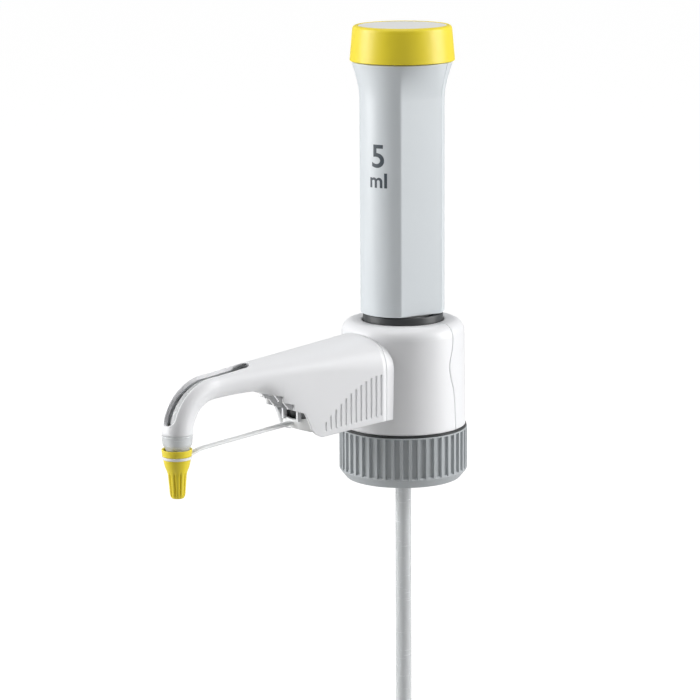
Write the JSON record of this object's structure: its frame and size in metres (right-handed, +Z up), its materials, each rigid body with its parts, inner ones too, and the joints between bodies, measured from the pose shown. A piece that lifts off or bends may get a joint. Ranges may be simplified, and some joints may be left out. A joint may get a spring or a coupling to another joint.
{
  "type": "bottle top dispenser",
  "caption": "Fixed-volume bottle top dispenser: lift handle over a glass cylinder, swivelling valve block on a ribbed bottle nut, side discharge arm with tethered screw cap.",
  "frame": {"origin": "on the vertical axis, at the mouth of the bottle thread (lower face of the mount nut)", "axes": "+Z up along the nut, cylinder and handle; the discharge arm points along -X"},
  "size_m": [0.1568, 0.0546, 0.3175],
  "materials": {
    "grey_nut": "moulded polypropylene, satin",
    "black_ring": "moulded acetal, satin",
    "white_body": "moulded polypropylene, satin gloss",
    "handle_grey": "moulded polypropylene, satin gloss",
    "yellow": "moulded polypropylene, satin gloss",
    "light_disc": "moulded polypropylene, satin gloss",
    "dark_ring": "moulded acetal, satin",
    "dark_cradle": "moulded polypropylene, matt",
    "natural": "machined fluoropolymer, satin",
    "tube_clear": "extruded fluoropolymer, translucent",
    "glass": "drawn borosilicate",
    "seal": "smooth elastomer",
    "o_ring": "smooth elastomer",
    "ptfe": "machined, smooth",
    "steel": "turned",
    "ceramic": "polished",
    "spring_metal": "drawn wire",
    "strap_white": "moulded elastomer, satin"
  },
  "bodies": {
    "bottle_mount": {"mount_nut": "grey_nut", "bearing_ring": "black_ring", "slip_washer": "ptfe"},
    "valve_block": {"valve_block_core": "natural", "body_front_cover": "white_body", "body_rear_cover": "white_body", "vent_cap": "white_body", "bottle_seal": "seal", "safety_ring": "dark_ring", "dispensing_cylinder": "glass", "cylinder_seal": "o_ring", "guide_sleeve": "light_disc", "filling_valve_body": "natural", "filling_valve_seat": "ptfe", "filling_tube_upper": "tube_clear", "discharge_valve_body": "natural", "discharge_valve_seat": "ptfe", "discharge_spring": "spring_metal", "discharge_tube": "tube_clear", "nozzle_collar": "tube_clear", "arm_cover": "white_body", "tube_cradle": "dark_cradle", "arm_base_plate": "strap_white", "cap_strap": "strap_white"},
    "handle": {"handle_front_shell": "handle_grey", "handle_rear_shell": "handle_grey", "guide_bush": "ptfe", "rod_carrier": "natural", "adjusting_nut": "light_disc", "piston_rod": "steel", "piston_seal": "ptfe", "piston_screw": "steel", "top_cap": "yellow", "calibration_cover": "light_disc"},
    "telescopic_tube": {"filling_tube_lower": "tube_clear"},
    "strap_end": {"strap_eye": "strap_white"},
    "nozzle_cap": {"screw_cap": "yellow"},
    "suction_ball": {"filling_ball": "glass"},
    "delivery_ball": {"discharge_ball": "ceramic"}
  },
  "joints": [
    {"name": "valve_block_swivel", "type": "hinge", "parent": "bottle_mount", "child": "valve_block", "pos_m": [0, 0, 0.022], "axis": [0, 0, 1], "continuous": true},
    {"name": "handle_lift", "type": "slide", "parent": "valve_block", "child": "handle", "axis": [0, 0, 1], "range_m": [0, 0.05886]},
    {"name": "tube_extend", "type": "slide", "parent": "valve_block", "child": "telescopic_tube", "axis": [0, 0, -1], "range_m": [0, 0.115]},
    {"name": "cap_pull", "type": "slide", "parent": "valve_block", "child": "strap_end", "axis": [0, 0, -1], "range_m": [0, 0.012], "deforming": ["cap_strap"]},
    {"name": "cap_turn", "type": "hinge", "parent": "strap_end", "child": "nozzle_cap", "pos_m": [-0.121, 0, 0.022], "axis": [0, 0, 1], "continuous": true},
    {"name": "filling_valve_lift", "type": "slide", "parent": "valve_block", "child": "suction_ball", "axis": [0, 0, 1], "range_m": [0, 0.0012]},
    {"name": "discharge_valve_lift", "type": "slide", "parent": "valve_block", "child": "delivery_ball", "axis": [-1, 0, 0], "range_m": [0, 0.001], "stiffness_N_per_m": 20, "springref_m": -0.002, "deforming": ["discharge_spring"]}
  ]
}
